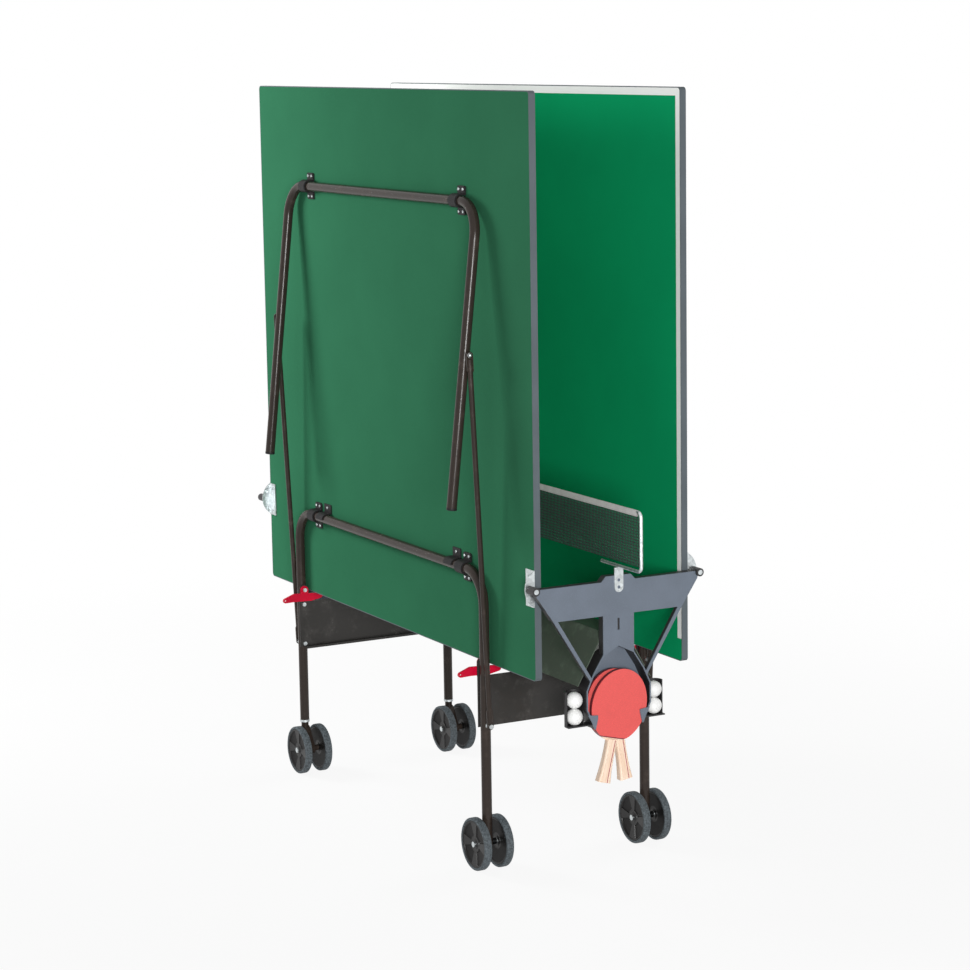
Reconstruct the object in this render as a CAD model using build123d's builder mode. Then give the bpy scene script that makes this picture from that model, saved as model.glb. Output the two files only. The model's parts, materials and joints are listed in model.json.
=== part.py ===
import os
from math import acos, atan2, cos, degrees, hypot, radians, sin, tan

from build123d import *

os.makedirs("parts", exist_ok=True)

# Ping pong table in its stored pose, in millimetres, +Z up, with the floor at z = 0.
# X runs across the two folded halves and Y along the net.
# Half a stands at +X and half b at -X. The end that holds the bats is the right end, at +Y.

# Playing surface
table_length = 2740.0
table_width = 1525.0
play_height = 760.0
board_thickness = 16.5
band_thickness = 2.0
corner_radius = 8.0

# Fold of the halves
edge_to_axis = 221.0
tube_to_board = 2.0
swing_clearance = 0.5

# Leg tubes, bent to a U
leg_tube = 25.0
leg_wall = 1.5
leg_bend = 80.0
leg_span = 1070.0

# Outer legs and the braces that steer them
outer_rise = 886.0
stored_tilt = 6.5
rivet_reach = 357.0
brace_drop = 370.0
brace_tube = 13.0
brace_wall = 1.2
brace_standoff = 11.5
eye_width = 17.0
eye_thickness = 4.0
eye_length = 36.0
foot_overhang = 0.4
foot_height = 30.0
foot_sole = 6.0
foot_round = 2.5
foot_clearance = 0.5

# Clamps that hold the crossbars to the boards, and the stop tabs beside them
clamp_inset = 23.0
clamp_width = 36.0
clamp_wall = 4.0
clamp_flange = 18.0
clamp_corner = 5.0
tab_spacing = 57.0
tab_width = 40.0
tab_wall = 3.0
tab_flange = 22.0

# Hinge brackets and their pins
bracket_width = 38.0
bracket_height = 88.0
bracket_thickness = 3.0
bracket_margin = 11.0
pin_diameter = 12.0
pin_past_plate = 7.0

# Bolts
bolt_diameter = 6.0
bolt_head = 11.0
bolt_head_height = 4.0
washer_diameter = 14.0

# Clearances
running_fit = 0.06
bolt_fit = 0.08
free_gap = 0.3

# Side plates between the two U legs
side_sheet = 2.0
side_low = 378.0
side_top = 252.0
middle_bolt = 260.0
lever_above_edge = 2.0
ear_radius = 14.0
side_lip = 15.0
lip_return = 6.0
leg_margin = 1.0

# Storage levers
lever_thickness = 6.0
lever_lug = 11.0
lever_side_gap = 0.6

# Wheels, axles and casters
wheel_diameter = 130.0
wheel_width = 20.0
wheel_track = 60.0
tyre_lip = 5.0
tyre_round = 4.0
wheel_step = 1.5
wheel_dish = 4.5
hub_diameter = 24.0
axle_diameter = 10.0
axle_nut = 14.0
axle_nut_height = 4.0
spacer_diameter = 16.0
leg_past_axle = 16.0
swivel_leg_height = 142.0
collar_height = 6.0
collar_overhang = 0.8
bush_length = 45.0
swivel_pin = 12.0
stem_diameter = 20.0
caster_trail = 28.0
caster_width = 22.0
caster_head = 12.0
caster_foot = 14.0
caster_head_height = 112.0

# End plates: grey face in front, dark moulding behind
plate_standoff = 27.5
face_sheet = 2.5
frame_depth = 19.0
frame_wall = 3.0
bar_top = 3.0
bar_low = 78.0
bar_low_half = 175.5
bar_end_inset = 5.0
bar_end_drop = 15.0
net_tab_rise = 16.0
net_tab_base = 46.0
net_tab_top = 34.0
stem_half = 42.0
stem_low = 171.0
shoulder_half = 70.0
shoulder_low = 214.0
pocket_peak = 150.0
pocket_side_room = 13.0
pocket_shoulder = 253.0
pocket_waist = 300.0
pocket_taper = 21.0
pocket_low = 348.0
strut_width = 11.5
strut_low = 229.0
strut_foot = 9.0
strut_depth = 10.0
slot_top = 86.5
slot_low = 115.0
slot_width = 6.0
boss_diameter = 20.0
boss_past_plate = 6.0
boss_behind = 25.0
hook_top = 312.0
hook_length = 30.0
hook_tip_low = 323.0

# Bats
blade_width = 150.0
blade_height = 176.0
blade_thickness = 6.0
rubber_thickness = 2.0
rubber_chord = 77.0
bat_tilts = (14.0, -9.0)
bat_gap = 0.5
handle_width = 27.0
handle_thickness = 20.0
handle_waist = 25.0
handle_flare = 34.0
handle_end_thickness = 23.0
handle_length = 105.0
handle_start = 82.0
handle_round = 5.0
neck_width = 42.0
bat_back_gap = 12.0

# Balls and the troughs that hold them
ball_diameter = 40.0
ball_room = 1.0
cage_wall = 3.0
cage_low = 340.0
cage_front = 3.0
cage_shelf = 14.0

# Centre beam
beam_sheet = 2.0
beam_top_half = 30.0
beam_top = 121.0
beam_base_half = 101.0
beam_base = 244.0

# Net
net_height = 152.5
net_overhang = 127.5
net_thickness = 1.6
net_columns = 45
net_rows = 4
net_cord = 4.0
tape_height = 15.0
tape_thickness = 3.0
rod_diameter = 8.0
rod_bend = 14.0
rod_return = 180.0
rod_above_table = 8.0
net_above_rod = 10.0
net_bracket_width = 24.0
net_bracket_sheet = 3.0
net_bracket_drop = 24.0
net_hole = 8.0
net_hole_spacing = 17.0

# Places worked out from the sizes
half_width = table_width / 2
tube_radius = leg_tube / 2
tube_bore = tube_radius - leg_wall
axis_offset = tube_radius + tube_to_board
axis_z = play_height - board_thickness - axis_offset
axis_x = hypot(edge_to_axis, axis_offset + board_thickness) + swing_clearance
underside = axis_x - axis_offset
panel_length = table_length / 2 - (axis_x - edge_to_axis)
panel_low = axis_z - edge_to_axis
panel_middle = panel_low + panel_length / 2
leg_y = leg_span / 2
clamp_y = leg_y - leg_bend - clamp_inset
tab_y = clamp_y - tab_spacing
lever_drop = edge_to_axis - lever_above_edge
pivot_z = axis_z + outer_rise
wheel_radius = wheel_diameter / 2
bolt_hole = bolt_diameter / 2 + bolt_fit
plate_front = half_width + plate_standoff
plate_back = plate_front - face_sheet
pocket_half = blade_width / 2 + pocket_side_room
pocket_low_half = pocket_half - pocket_taper
hook_reach = pocket_half - hook_length
pocket_lean = atan2(pocket_taper, pocket_low - pocket_waist)
trough_radius = ball_diameter / 2 + ball_room
trough_x = pocket_half + trough_radius
trough_y = plate_back - trough_radius

# Linkage of an outer leg: rivet and brace bolt when stored, and the leg's splay in play
rivet_x = axis_x + rivet_reach * sin(radians(stored_tilt))
rivet_z = pivot_z - rivet_reach * cos(radians(stored_tilt))
brace_bolt_z = axis_z - brace_drop
brace_length = hypot(rivet_x - axis_x, rivet_z - brace_bolt_z)
brace_lean = degrees(atan2(rivet_x - axis_x, rivet_z - brace_bolt_z))
pivot_to_bolt = hypot(outer_rise, brace_drop)
rivet_angle = acos(
    (rivet_reach**2 + pivot_to_bolt**2 - brace_length**2) / (2 * rivet_reach * pivot_to_bolt)
)
play_splay = rivet_angle - atan2(outer_rise, brace_drop)
foot_radius = tube_radius + foot_overhang
leg_length = (axis_z - foot_radius * sin(play_splay) - foot_clearance) / cos(play_splay)

# Stations along Y
brace_y = leg_y + tube_radius + brace_standoff
side_outer = leg_y - tube_radius
side_inner = side_outer - side_sheet
lever_outer = side_inner - lever_side_gap
lever_inner = lever_outer - lever_thickness
pocket_depth = (
    face_sheet + bat_gap + 1.5 * (blade_thickness + 2 * rubber_thickness) + handle_thickness / 2
    + bat_gap + bat_back_gap
)
pocket_back = plate_front - pocket_depth
rod_z = play_height + rod_above_table
net_half_length = half_width + net_overhang
post_y = net_half_length + rod_diameter / 2
rod_inner = post_y - rod_return
net_low = rod_z + net_above_rod
net_top = play_height + net_height

sides = (("a", 1), ("b", -1))
ends = (("right", 1), ("left", -1))


def across(y):
    """Plane that looks along the net: local x is X, local y is Z, and it extrudes towards -Y."""
    return Plane(origin=(0, y, 0), x_dir=(1, 0, 0), z_dir=(0, -1, 0))


def both_sides(half):
    """Close a half outline, given from top to bottom at +X, with its mirror image."""
    return half + [(-x, z) for x, z in reversed(half)]


def below_axis(half):
    """Turn drops below the fold axis into heights."""
    return [(x, axis_z - drop) for x, drop in half]


def save(builder, name):
    builder.part.label = name
    export_step(builder.part, f"parts/{name}.step")


def rod_y(x, z, y_from, y_to, radius, mode=Mode.ADD):
    """Round bar along Y in the open part."""
    with BuildSketch(across(max(y_from, y_to))) as section:
        with Locations((x, z)):
            Circle(radius)
    extrude(section.sketch, amount=abs(y_to - y_from), mode=mode)


def rod_x(y, z, x_from, x_to, radius, mode=Mode.ADD):
    """Round bar along X in the open part."""
    with BuildSketch(Plane.YZ.offset(min(x_from, x_to))) as section:
        with Locations((y, z)):
            Circle(radius)
    extrude(section.sketch, amount=abs(x_to - x_from), mode=mode)


# Boards and edge bands
def board_plane(s):
    return Plane(origin=(s * underside, 0, panel_middle), x_dir=(0, 1, 0), z_dir=(-s, 0, 0))


for side, s in sides:
    with BuildPart() as board:
        with BuildSketch(board_plane(s)):
            RectangleRounded(
                table_width - 2 * band_thickness,
                panel_length - 2 * band_thickness,
                corner_radius,
            )
        extrude(amount=board_thickness)
    save(board, f"board_{side}")

    with BuildPart() as edge_band:
        with BuildSketch(board_plane(s)):
            RectangleRounded(table_width, panel_length, corner_radius + band_thickness)
            RectangleRounded(
                table_width - 2 * band_thickness,
                panel_length - 2 * band_thickness,
                corner_radius,
                mode=Mode.SUBTRACT,
            )
        extrude(amount=board_thickness)
    save(edge_band, f"edge_band_{side}")


# Hinge brackets: flange on the underside, half-oval web at the edge, pin through the end plate's boss
for side, s in sides:
    with BuildPart() as hinge_brackets:
        for end, e in ends:
            edge = e * half_width
            with BuildSketch(across(max(edge, edge - e * bracket_thickness))):
                with BuildLine():
                    ThreePointArc(
                        (s * underside, axis_z + bracket_height / 2),
                        (s * (axis_x + bracket_margin), axis_z),
                        (s * underside, axis_z - bracket_height / 2),
                    )
                    Line(
                        (s * underside, axis_z - bracket_height / 2),
                        (s * underside, axis_z + bracket_height / 2),
                    )
                make_face()
            extrude(amount=bracket_thickness)
            with Locations(
                (s * (underside + bracket_thickness / 2), edge - e * bracket_width / 2, axis_z)
            ):
                Box(bracket_thickness, bracket_width, bracket_height)
            rod_y(s * axis_x, axis_z, edge, e * (plate_front + pin_past_plate), pin_diameter / 2)
    save(hinge_brackets, f"hinge_brackets_{side}")


# Saddle clamps on both crossbars of a half
clamp_radius = tube_radius + free_gap + clamp_wall
tube_room = tube_radius + free_gap


def saddle(s, z, y, width, wall, flange):
    """One clamp: two flanges on the board and an arch over the tube."""
    outer = tube_room + wall
    with BuildSketch(across(y + width / 2)) as section:
        with Locations((s * (underside + wall / 2), z)):
            Rectangle(wall, 2 * (outer + flange))
        with Locations((s * (underside + axis_offset / 2), z)):
            Rectangle(axis_offset, 2 * outer)
        with Locations((s * axis_x, z)):
            Circle(outer)
            Circle(tube_room, mode=Mode.SUBTRACT)
        with Locations((s * (underside + axis_offset / 2), z)):
            Rectangle(axis_offset, 2 * tube_room, mode=Mode.SUBTRACT)
        with Locations((s * (underside - outer), z)):
            Rectangle(2 * outer, 4 * outer, mode=Mode.SUBTRACT)
    extrude(section.sketch, amount=width)


for side, s in sides:
    with BuildPart() as clamps:
        for z in (axis_z, pivot_z):
            for y in (-clamp_y, clamp_y):
                saddle(s, z, y, clamp_width, clamp_wall, clamp_flange)
        corners = clamps.edges().filter_by(Axis.X).group_by(SortBy.LENGTH)[0]
        fillet(corners, radius=clamp_corner)
    save(clamps, f"clamps_{side}")


# Stop tabs: a flange above the fold crossbar that hooks over the tube
for side, s in sides:
    hook_outer = tube_room + tab_wall
    with BuildPart() as stop_tabs:
        for y in (-tab_y, tab_y):
            with BuildSketch(across(y + tab_width / 2)):
                with Locations((s * (underside + tab_wall / 2), axis_z + hook_outer + tab_flange / 2)):
                    Rectangle(tab_wall, tab_flange)
                with Locations((s * axis_x, axis_z)):
                    Circle(hook_outer)
                with Locations((s * (underside + axis_offset / 2), axis_z + hook_outer / 2)):
                    Rectangle(axis_offset, hook_outer)
                with Locations((s * axis_x, axis_z - hook_outer / 2)):
                    Rectangle(2 * hook_outer, hook_outer, mode=Mode.SUBTRACT)
                with Locations((s * axis_x, axis_z)):
                    Circle(tube_room, mode=Mode.SUBTRACT)
                with Locations((s * (underside + axis_offset / 2), axis_z + tube_room / 2)):
                    Rectangle(axis_offset, tube_room, mode=Mode.SUBTRACT)
                with Locations((s * (underside - hook_outer), axis_z)):
                    Rectangle(2 * hook_outer, 4 * hook_outer, mode=Mode.SUBTRACT)
            extrude(amount=tab_width)
    save(stop_tabs, f"stop_tabs_{side}")


# U legs
def u_tube(plane, drop_right, drop_left):
    """Bent tube in the open part: crossbar along the plane's x, a leg down at each end."""
    with BuildLine(plane) as path:
        FilletPolyline(
            (-leg_y, -drop_left), (-leg_y, 0), (leg_y, 0), (leg_y, -drop_right), radius=leg_bend
        )
    with BuildSketch(Plane(origin=path.line @ 0, z_dir=path.line % 0)) as section:
        Circle(tube_radius)
        Circle(tube_bore, mode=Mode.SUBTRACT)
    sweep(section.sketch, path=path.line)


for side, s in sides:
    with BuildPart() as wheel_leg:
        u_tube(
            Plane(origin=(s * axis_x, 0, axis_z), x_dir=(0, 1, 0), z_dir=(1, 0, 0)),
            axis_z - (wheel_radius - leg_past_axle),
            axis_z - swivel_leg_height,
        )
        for end, e in ends:
            for drop in (brace_drop, middle_bolt, lever_drop):
                rod_y(
                    s * axis_x, axis_z - drop, e * (leg_y - leg_tube), e * (leg_y + leg_tube),
                    bolt_hole, Mode.SUBTRACT,
                )
        rod_x(
            leg_y, wheel_radius, s * axis_x - leg_tube, s * axis_x + leg_tube,
            axle_diameter / 2 + bolt_fit, Mode.SUBTRACT,
        )
    save(wheel_leg, f"wheel_leg_{side}")

    tilt = radians(stored_tilt)
    outer_plane = Plane(
        origin=(s * axis_x, 0, pivot_z), x_dir=(0, 1, 0), z_dir=(cos(tilt), 0, s * sin(tilt))
    )
    tube_end = leg_length - foot_sole
    with BuildPart() as outer_leg:
        u_tube(outer_plane, tube_end, tube_end)
    save(outer_leg, f"outer_leg_{side}")

    with BuildPart() as feet:
        for end, e in ends:
            sole = outer_plane.from_local_coords((e * leg_y, -leg_length, 0))
            for radius, height in ((foot_radius, foot_sole), (tube_bore - running_fit, foot_height)):
                with BuildSketch(Plane(origin=sole, x_dir=(0, 1, 0), z_dir=outer_plane.y_dir)):
                    Circle(radius)
                extrude(amount=height)
        soles = feet.faces().group_by(Axis(outer_plane.origin, outer_plane.y_dir))[0]
        fillet(soles.edges(), radius=foot_round)
    save(feet, f"feet_{side}")


# Braces: tube with flattened eyes, free on the leg bolt below, riveted to the outer leg above
for side, s in sides:
    lean = radians(brace_lean)
    along = Vector(s * sin(lean), 0, cos(lean))
    for end, e in ends:
        foot_eye = Vector(s * axis_x, e * brace_y, brace_bolt_z)
        head_eye = foot_eye + along * brace_length
        with BuildPart() as brace:
            tube_start = foot_eye + along * (eye_width / 2 + bolt_head / 4)
            tube_length = brace_length - eye_width - bolt_head / 2
            with BuildSketch(Plane(origin=tube_start, x_dir=(0, 1, 0), z_dir=along)):
                Circle(brace_tube / 2)
                Circle(brace_tube / 2 - brace_wall, mode=Mode.SUBTRACT)
            extrude(amount=tube_length)
            for eye, way in ((foot_eye, 1), (head_eye, -1)):
                with BuildSketch(Plane(origin=eye, x_dir=along * way, z_dir=(0, 1, 0))):
                    SlotCenterPoint((eye_length / 2, 0), (eye_length, 0), eye_width)
                extrude(amount=eye_thickness / 2, both=True)
            rod_y(
                foot_eye.X, foot_eye.Z, e * (brace_y - eye_thickness), e * (brace_y + eye_thickness),
                bolt_hole, Mode.SUBTRACT,
            )
            rod_y(
                head_eye.X, head_eye.Z, e * (leg_y + tube_radius + lever_side_gap), e * brace_y,
                bolt_diameter / 2,
            )
            rod_y(
                head_eye.X, head_eye.Z, e * brace_y, e * (brace_y + eye_thickness / 2 + bolt_head_height),
                bolt_head / 2,
            )
        save(brace, f"brace_{side}_{end}")


# Side plates: sheet between the legs with an ear at each lever and a lip along the bottom
for end, e in ends:
    with BuildPart() as side_plate:
        plate_half = axis_x + tube_radius + leg_margin
        with BuildSketch(across(max(e * side_outer, e * side_inner))):
            with Locations((0, axis_z - (side_low + side_top) / 2)):
                Rectangle(2 * plate_half, side_low - side_top)
            for s in (1, -1):
                with Locations((s * axis_x, axis_z - (side_top + lever_drop) / 2)):
                    Rectangle(2 * ear_radius, side_top - lever_drop)
                with Locations((s * axis_x, axis_z - lever_drop)):
                    Circle(ear_radius)
                for drop in (brace_drop, middle_bolt, lever_drop):
                    with Locations((s * axis_x, axis_z - drop)):
                        Circle(bolt_hole, mode=Mode.SUBTRACT)
        extrude(amount=side_sheet)
        with Locations((0, e * (side_inner - side_lip / 2), axis_z - side_low + side_sheet / 2)):
            Box(2 * axis_x, side_lip, side_sheet)
        lip_edge = side_inner - side_lip + side_sheet / 2
        with Locations((0, e * lip_edge, axis_z - side_low + side_sheet - lip_return / 2)):
            Box(2 * axis_x, side_sheet, lip_return)
    save(side_plate, f"side_plate_{end}")


# Storage levers: lug on the pivot, curved handle outside, hook under the board's edge
def lever_outline(s):
    """Lever profile about its pivot, in the open sketch. The handle points to s."""
    def place(out, up):
        return (s * (axis_x + out), axis_z - lever_drop + up)

    circles = (((57, -25), 6.5), ((30, -19.5), 11.0), ((-18, -21.5), 11.0), ((-46, -20), 7.0))
    for (first, first_radius), (second, second_radius) in zip(circles, circles[1:]):
        with BuildSketch(across(0), mode=Mode.PRIVATE) as link:
            with Locations(place(*first)):
                Circle(first_radius)
            with Locations(place(*second)):
                Circle(second_radius)
            make_hull()
        add(link.sketch_local)
    with Locations(place(0, 0)):
        Circle(lever_lug)
    with Locations(place(0, -lever_lug)):
        Rectangle(2 * lever_lug, 2 * lever_lug)
    Polygon(place(-36, -20), place(-38, -8), place(-46, -4.5), place(-54, -7), place(-53, -17), align=None)
    with Locations(place(0, 0)):
        Circle(bolt_hole, mode=Mode.SUBTRACT)
    with Locations(place(57, -25)):
        Circle(2.5, mode=Mode.SUBTRACT)


for side, s in sides:
    for end, e in ends:
        with BuildPart() as lever:
            with BuildSketch(across(max(e * lever_outer, e * lever_inner))):
                lever_outline(s)
            extrude(amount=lever_thickness)
        save(lever, f"lever_{side}_{end}")


# Bolts through legs and side plates, which also carry the braces and the levers
def bolt(s, e, drop, inner, outer):
    """Bolt along Y in the open part, with a head at both ends."""
    x, z = s * axis_x, axis_z - drop
    rod_y(x, z, e * inner, e * outer, bolt_diameter / 2)
    rod_y(x, z, e * inner, e * (inner - bolt_head_height), bolt_head / 2)
    rod_y(x, z, e * outer, e * (outer + bolt_head_height), bolt_head / 2)


with BuildPart() as trolley_bolts:
    for side, s in sides:
        for end, e in ends:
            bolt(s, e, lever_drop, lever_inner - free_gap, leg_y + tube_radius)
            bolt(s, e, middle_bolt, side_inner, leg_y + tube_radius)
            bolt(s, e, brace_drop, side_inner, brace_y + eye_thickness / 2 + free_gap)
            rod_y(
                s * axis_x, axis_z - brace_drop, e * (leg_y + tube_radius),
                e * (brace_y - eye_thickness / 2 - free_gap), washer_diameter / 2,
            )
save(trolley_bolts, "trolley_bolts")


# Wheels, their axles and the swivel casters
def wheel_profile(x):
    """Section of a wheel about its axle, in the open sketch: round tyre, dished disc and hub."""
    half = wheel_width / 2
    rim = wheel_radius - tyre_lip
    bore = axle_diameter / 2 + running_fit
    edge = [(half - wheel_dish, bore), (half - wheel_dish, hub_diameter / 2)]
    edge += [(half - wheel_step, rim - wheel_step), (half, rim)]
    edge += [(half, wheel_radius)]
    outline = edge + [(-out, radius) for out, radius in reversed(edge)]
    section = Polygon(*[(x + out, wheel_radius + radius) for out, radius in outline], align=None)
    fillet(section.vertices().group_by(Axis.Y)[-1], radius=tyre_round)


for side, s in sides:
    for end, y in (("right", leg_y), ("left", -leg_y + caster_trail)):
        for place, out in (("outer", 1), ("inner", -1)):
            x = s * axis_x + s * out * wheel_track / 2
            with BuildPart() as wheel:
                with BuildSketch(across(y)):
                    wheel_profile(x)
                revolve(axis=Axis((x, y, wheel_radius), (1, 0, 0)))
            save(wheel, f"wheel_{side}_{end}_{place}")


def axle(x, y, core):
    """Axle of a pair of wheels in the open part, with spacers beside its carrier and end nuts."""
    hub_half = wheel_width / 2 - wheel_dish
    near = wheel_track / 2 - hub_half - free_gap
    far = wheel_track / 2 + hub_half + free_gap
    rod_x(y, wheel_radius, x - far, x + far, axle_diameter / 2)
    for way in (1, -1):
        rod_x(y, wheel_radius, x + way * core, x + way * near, spacer_diameter / 2)
        rod_x(y, wheel_radius, x + way * far, x + way * (far + axle_nut_height), axle_nut / 2)


with BuildPart() as wheel_axles:
    for side, s in sides:
        axle(s * axis_x, leg_y, tube_radius)
save(wheel_axles, "wheel_axles")

with BuildPart() as leg_collars:
    for side, s in sides:
        with Locations((s * axis_x, -leg_y, swivel_leg_height - collar_height / 2)):
            Cylinder(tube_radius + collar_overhang, collar_height)
        with Locations((s * axis_x, -leg_y, swivel_leg_height + bush_length / 2)):
            Cylinder(tube_bore, bush_length)
        with Locations((s * axis_x, -leg_y, swivel_leg_height + bush_length / 2)):
            Cylinder(swivel_pin / 2 + running_fit, 2 * bush_length, mode=Mode.SUBTRACT)
save(leg_collars, "leg_collars")

for side, s in sides:
    x = s * axis_x
    stem_top = swivel_leg_height - collar_height - free_gap
    with BuildPart() as caster:
        with BuildSketch(Plane.YZ.offset(x - caster_width / 2)):
            with Locations((-leg_y, caster_head_height)):
                Circle(caster_head)
            with Locations((-leg_y + caster_trail, wheel_radius)):
                Circle(caster_foot)
            make_hull()
        extrude(amount=caster_width)
        with Locations((x, -leg_y, (caster_head_height + stem_top) / 2)):
            Cylinder(stem_diameter / 2, stem_top - caster_head_height)
        with Locations((x, -leg_y, stem_top + bush_length / 2)):
            Cylinder(swivel_pin / 2, bush_length)
        axle(x, -leg_y + caster_trail, caster_width / 2)
    save(caster, f"caster_{side}")


# End plates
def face_outline():
    """Bar, net tab and stem of an end plate."""
    return both_sides(
        [(net_tab_top, axis_z + net_tab_rise), (net_tab_base, axis_z + bar_top), (axis_x, axis_z + bar_top)]
        + below_axis([
            (axis_x - bar_end_inset, bar_end_drop),
            (bar_low_half, bar_low),
            (stem_half, bar_low),
            (stem_half, stem_low),
        ])
    )


def pocket_outline(past=0):
    """Outer outline of the bat pocket, peaked above, carried on past its open end below."""
    narrowed = past * pocket_taper / (pocket_low - pocket_waist)
    return [(0, axis_z - pocket_peak)] + both_sides(below_axis([
        (stem_half, stem_low),
        (shoulder_half, shoulder_low),
        (pocket_half, pocket_shoulder),
        (pocket_half, pocket_waist),
        (pocket_low_half - narrowed, pocket_low + past),
    ]))


def pocket_room():
    """Inside of the pocket, a wall's thickness within its outline and open below."""
    with BuildSketch(across(0), mode=Mode.PRIVATE) as inside:
        Polygon(*pocket_outline(2 * frame_wall), align=None)
        offset(amount=-frame_wall, kind=Kind.INTERSECTION, mode=Mode.REPLACE)
    return inside.sketch_local


def strut_outline(s):
    """Slanting strut from the bar into the pocket's wall at its shoulder."""
    share = (strut_low - shoulder_low) / (pocket_shoulder - shoulder_low)
    foot = shoulder_half + share * (pocket_half - shoulder_half) - frame_wall / 2
    return [(s * x, z) for x, z in below_axis([
        (bar_low_half, bar_low),
        (bar_low_half - strut_width, bar_low),
        (foot - frame_wall / 2, strut_low - strut_foot / 2),
        (foot + frame_wall / 2, strut_low + strut_foot / 2),
    ])]


# Grey face: front sheet with struts, pocket rim and hooks, and the back of the pocket
with BuildPart() as end_face:
    with BuildSketch(across(plate_front)):
        Polygon(*face_outline(), align=None)
        Polygon(*pocket_outline(), align=None)
        add(pocket_room(), mode=Mode.SUBTRACT)
        for s in (1, -1):
            Polygon(
                *[(s * x, z) for x, z in below_axis([
                    (pocket_half - frame_wall, hook_top),
                    (hook_reach, hook_top + frame_wall),
                    (hook_reach, hook_tip_low),
                    (pocket_low_half - frame_wall, pocket_low),
                ])],
                align=None,
            )
            Polygon(*strut_outline(s), align=None)
            with Locations((s * axis_x, axis_z)):
                Circle(boss_diameter / 2, mode=Mode.SUBTRACT)
        with Locations((0, axis_z - (slot_top + slot_low) / 2)):
            Rectangle(slot_width, slot_low - slot_top, mode=Mode.SUBTRACT)
    extrude(amount=face_sheet)
    with BuildSketch(across(pocket_back)):
        add(pocket_room())
        with Locations((0, axis_z - pocket_low - frame_wall)):
            Rectangle(2 * pocket_half, 2 * frame_wall, mode=Mode.SUBTRACT)
    extrude(amount=face_sheet)
save(end_face, "end_face_right")

# Dark moulding: rim behind the face, ribs behind the struts, pocket walls, ball troughs and bosses
cage_height = 2 * ball_diameter + 3 * free_gap + ball_room
cage_floor = axis_z - cage_low + cage_wall
cage_web = pocket_half - (cage_low - pocket_waist) * tan(pocket_lean) - frame_wall / 2

with BuildPart() as end_frame:
    with BuildSketch(across(plate_back)):
        Polygon(*face_outline(), align=None)
        with BuildSketch(across(0), mode=Mode.PRIVATE) as rim_room:
            Polygon(*face_outline(), align=None)
            offset(amount=-frame_wall, kind=Kind.INTERSECTION, mode=Mode.REPLACE)
        add(rim_room.sketch_local, mode=Mode.SUBTRACT)
        add(pocket_room(), mode=Mode.SUBTRACT)
    extrude(amount=frame_depth)
    with BuildSketch(across(plate_back)):
        with Locations((0, axis_z - (slot_top + slot_low) / 2)):
            Rectangle(2 * stem_half, slot_low - slot_top + 2 * frame_wall)
    extrude(amount=frame_wall)
    with BuildSketch(across(plate_back)):
        Polygon(*pocket_outline(), align=None)
        add(pocket_room(), mode=Mode.SUBTRACT)
    extrude(amount=pocket_depth)
    with BuildSketch(across(plate_back)):
        for s in (1, -1):
            Polygon(*strut_outline(s), align=None)
        add(pocket_room(), mode=Mode.SUBTRACT)
    extrude(amount=strut_depth)
    for s in (1, -1):
        trough = (s * trough_x, trough_y)
        outer = trough_radius + cage_wall
        with BuildSketch(Plane.XY.offset(cage_floor - cage_wall)):
            with Locations(trough):
                Circle(outer)
            with Locations((s * trough_x, trough_y + cage_shelf / 2)):
                Rectangle(2 * outer, cage_shelf)
            with Locations((s * (cage_web + trough_x) / 2, trough_y)):
                Rectangle(trough_x - cage_web, 2 * cage_shelf)
            with Locations((s * trough_x, trough_y + cage_shelf + outer)):
                Rectangle(2 * outer, 2 * outer, mode=Mode.SUBTRACT)
        extrude(amount=cage_wall)
        with BuildSketch(Plane.XY.offset(cage_floor)):
            with Locations(trough):
                Circle(outer)
                Circle(trough_radius, mode=Mode.SUBTRACT)
            with Locations((s * trough_x, trough_y + cage_front + outer)):
                Rectangle(2 * outer, 2 * outer, mode=Mode.SUBTRACT)
        extrude(amount=cage_height)
        rod_y(
            s * axis_x, axis_z, plate_front - boss_behind, plate_front + boss_past_plate, boss_diameter / 2
        )
        rod_y(
            s * axis_x, axis_z, half_width, plate_front + boss_diameter,
            pin_diameter / 2 + running_fit, Mode.SUBTRACT,
        )
save(end_frame, "end_frame_right")

with BuildPart() as end_face_left:
    add(mirror(end_face.part, about=Plane.XZ))
save(end_face_left, "end_face_left")

with BuildPart() as end_frame_left:
    add(mirror(end_frame.part, about=Plane.XZ))
save(end_frame_left, "end_frame_left")


# Centre beam between the end plates: folded sheet, flat on top with sloping sides
with BuildPart() as centre_beam:
    beam_end = plate_back - frame_depth
    slope = hypot(beam_base - beam_top, beam_base_half - beam_top_half) / (beam_base - beam_top)
    lean_in = beam_sheet * slope
    top_shift = beam_sheet * (beam_base_half - beam_top_half) / (beam_base - beam_top)
    with BuildSketch(across(beam_end)):
        Polygon(
            *both_sides(below_axis([(beam_top_half, beam_top), (beam_base_half, beam_base)])), align=None
        )
        Polygon(
            *both_sides(below_axis([
                (beam_top_half + top_shift - lean_in, beam_top + beam_sheet),
                (beam_base_half - lean_in, beam_base),
            ])),
            align=None,
            mode=Mode.SUBTRACT,
        )
    extrude(amount=2 * beam_end)
save(centre_beam, "centre_beam")


# Bats: blade with neck and handle, and a rubber sheet on each face
bat_thickness = blade_thickness + 2 * rubber_thickness
front_bat_y = plate_back - bat_gap - bat_thickness / 2
back_bat_y = front_bat_y - bat_thickness / 2 - bat_gap - handle_thickness / 2
grip_sections = (
    (0, handle_width, handle_thickness),
    (handle_length / 3, handle_waist, handle_thickness),
    (handle_length, handle_flare, handle_end_thickness),
)


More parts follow.
